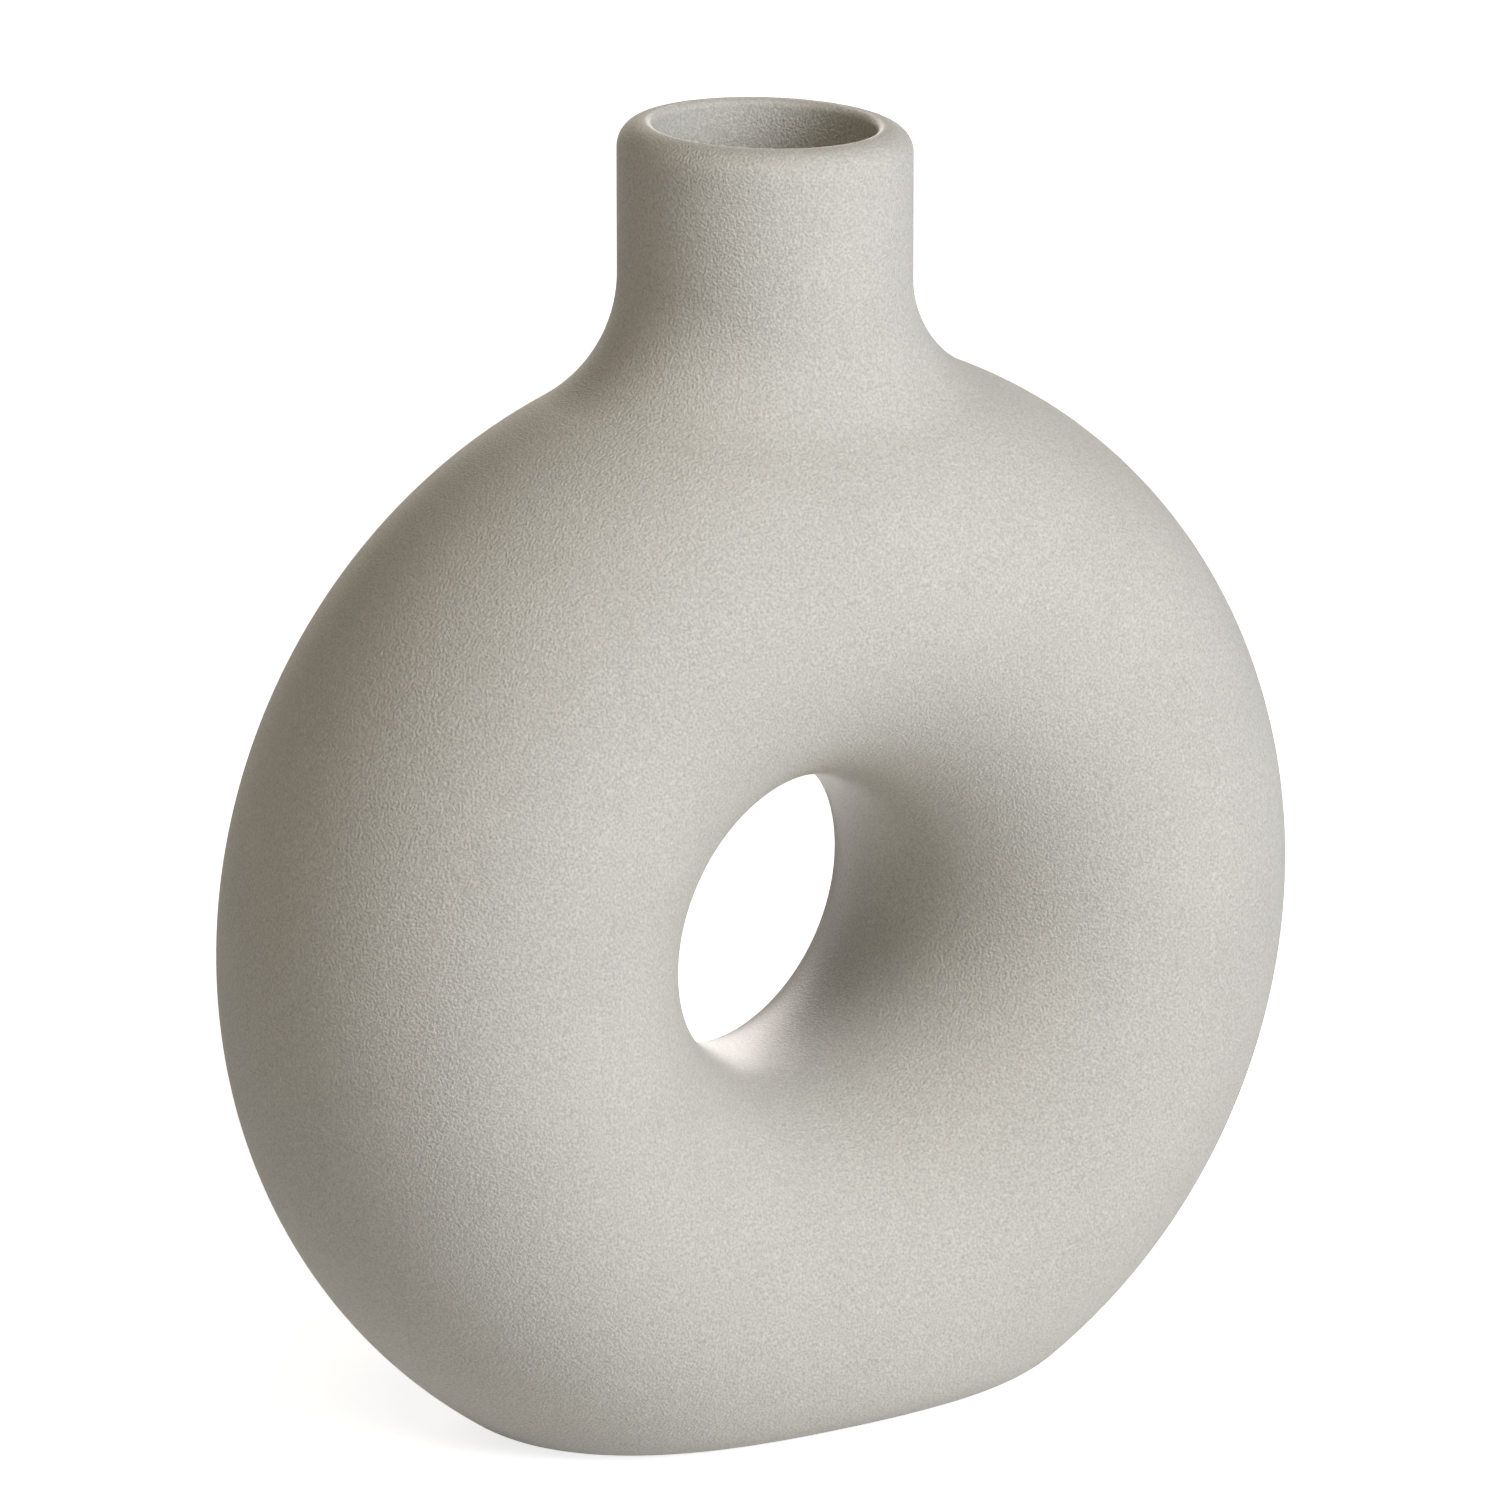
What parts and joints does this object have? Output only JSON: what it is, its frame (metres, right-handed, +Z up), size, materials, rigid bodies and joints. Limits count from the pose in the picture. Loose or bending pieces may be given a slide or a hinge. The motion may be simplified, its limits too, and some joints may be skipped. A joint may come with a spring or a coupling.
{
  "type": "donut vase",
  "caption": "Hollow ring-shaped stoneware vase that stands upright on a flattened foot, with a short straight neck on top for flower stems and a see-through hole in its middle.",
  "frame": {"origin": "on the table under the middle of the ring", "axes": "+Z up along the neck, +X to the viewer's right across the ring, the hole runs along Y and the front faces -Y"},
  "size_m": [0.18, 0.076, 0.202],
  "materials": {
    "stoneware": "matte",
    "slip": "matte",
    "glaze": "satin"
  },
  "bodies": {
    "root": {"front_half": "stoneware", "rear_half": "stoneware", "neck_collar": "stoneware", "rim_seam_slip": "slip", "hole_seam_slip": "slip", "neck_seam_slip": "slip", "inner_glaze": "glaze"}
  },
  "joints": []
}
